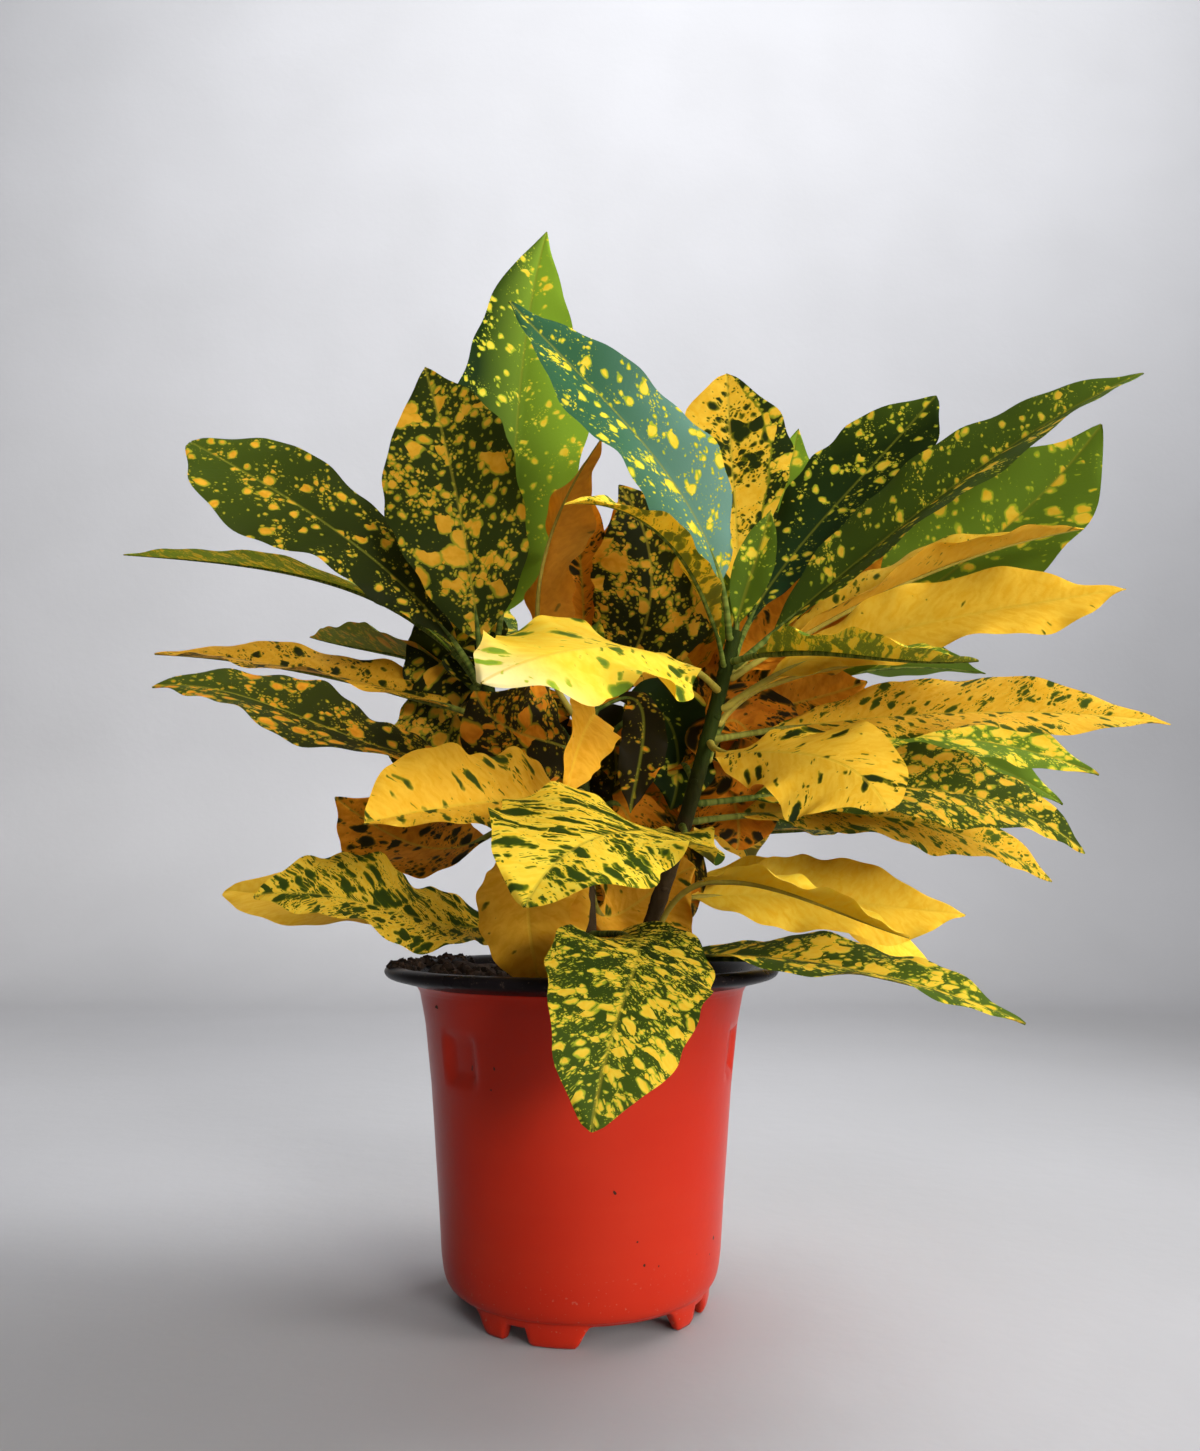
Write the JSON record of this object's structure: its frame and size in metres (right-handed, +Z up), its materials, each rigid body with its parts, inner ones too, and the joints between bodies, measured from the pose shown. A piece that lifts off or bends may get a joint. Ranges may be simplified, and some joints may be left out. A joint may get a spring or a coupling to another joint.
{
  "type": "potted croton",
  "caption": "Bushy croton with long blotched green and yellow leaves on thin stems, standing in soil in a round red nursery pot.",
  "frame": {"origin": "on the surface that the pot stands on, under the pot's axis", "axes": "+Z up along the pot's axis, -Y towards the viewer at the plant's front, +X to the viewer's right"},
  "size_m": [0.3725, 0.2377, 0.3851],
  "materials": {
    "pot": "red outside, glossy black inside and over the rolled lip",
    "soil": "dark crumbly potting soil",
    "stem": "thin grey-green bark with leaf scars",
    "leaf_green": "glossy dark green with small gold spots",
    "leaf_blotched": "glossy, gold blotches that run together on dark green",
    "leaf_gold": "glossy yellow and orange with few green flecks"
  },
  "bodies": {
    "root": {"pot": "pot", "soil": "soil", "stem_left": "stem", "stem_middle": "stem", "stem_right": "stem", "stem_back": "stem", "leaf_left_back_tall": "leaf_green", "leaf_left_speckled_upright": "leaf_blotched", "leaf_left_high": "leaf_green", "leaf_left_thin": "leaf_green", "leaf_left_back_small": "leaf_green", "leaf_left_yellow_edge": "leaf_gold", "leaf_left_dark_broad": "leaf_blotched", "leaf_left_brown": "leaf_blotched", "leaf_left_low_speckled": "leaf_blotched", "leaf_left_back_orange": "leaf_gold", "leaf_middle_yellow_folded": "leaf_gold", "leaf_middle_dark_left": "leaf_blotched", "leaf_middle_orange_upright": "leaf_gold", "leaf_middle_spotted_back": "leaf_blotched", "leaf_middle_hanging_yellow": "leaf_gold", "leaf_middle_shade_front": "leaf_green", "leaf_middle_shade_right": "leaf_green", "leaf_middle_low_tan": "leaf_gold", "leaf_middle_low_back": "leaf_gold", "leaf_middle_front_droop": "leaf_blotched", "leaf_right_blue_gloss": "leaf_green", "leaf_right_gold_upright": "leaf_blotched", "leaf_right_dark": "leaf_green", "leaf_right_long": "leaf_green", "leaf_right_thin_yellow": "leaf_gold", "leaf_right_yellow": "leaf_gold", "leaf_right_thin_green": "leaf_green", "leaf_right_mid_yellow": "leaf_gold", "leaf_right_inner_orange": "leaf_gold", "leaf_right_front_gold": "leaf_gold", "leaf_right_front_yellow": "leaf_gold", "leaf_right_speckled_long": "leaf_blotched", "leaf_right_low_speckled": "leaf_blotched", "leaf_right_low_under": "leaf_blotched", "leaf_right_low_yellow": "leaf_gold", "leaf_right_low_long": "leaf_blotched", "leaf_right_front_speckled": "leaf_blotched", "leaf_right_arching_young": "leaf_blotched", "leaf_right_blotched": "leaf_gold", "leaf_back_light_green": "leaf_green", "leaf_back_broad_green": "leaf_green", "leaf_back_small_green": "leaf_green", "leaf_back_speckled": "leaf_blotched", "leaf_back_far_one": "leaf_green", "leaf_back_far_two": "leaf_green", "leaf_back_dark_edge": "leaf_green", "leaf_back_low_yellow": "leaf_gold", "leaf_back_low_pale": "leaf_gold", "leaf_left_rear_high": "leaf_green", "leaf_left_rear_low": "leaf_blotched", "leaf_middle_rear_high": "leaf_green", "leaf_middle_rear_low": "leaf_green", "leaf_back_rear_high": "leaf_green", "leaf_back_rear_low": "leaf_blotched"}
  },
  "joints": []
}
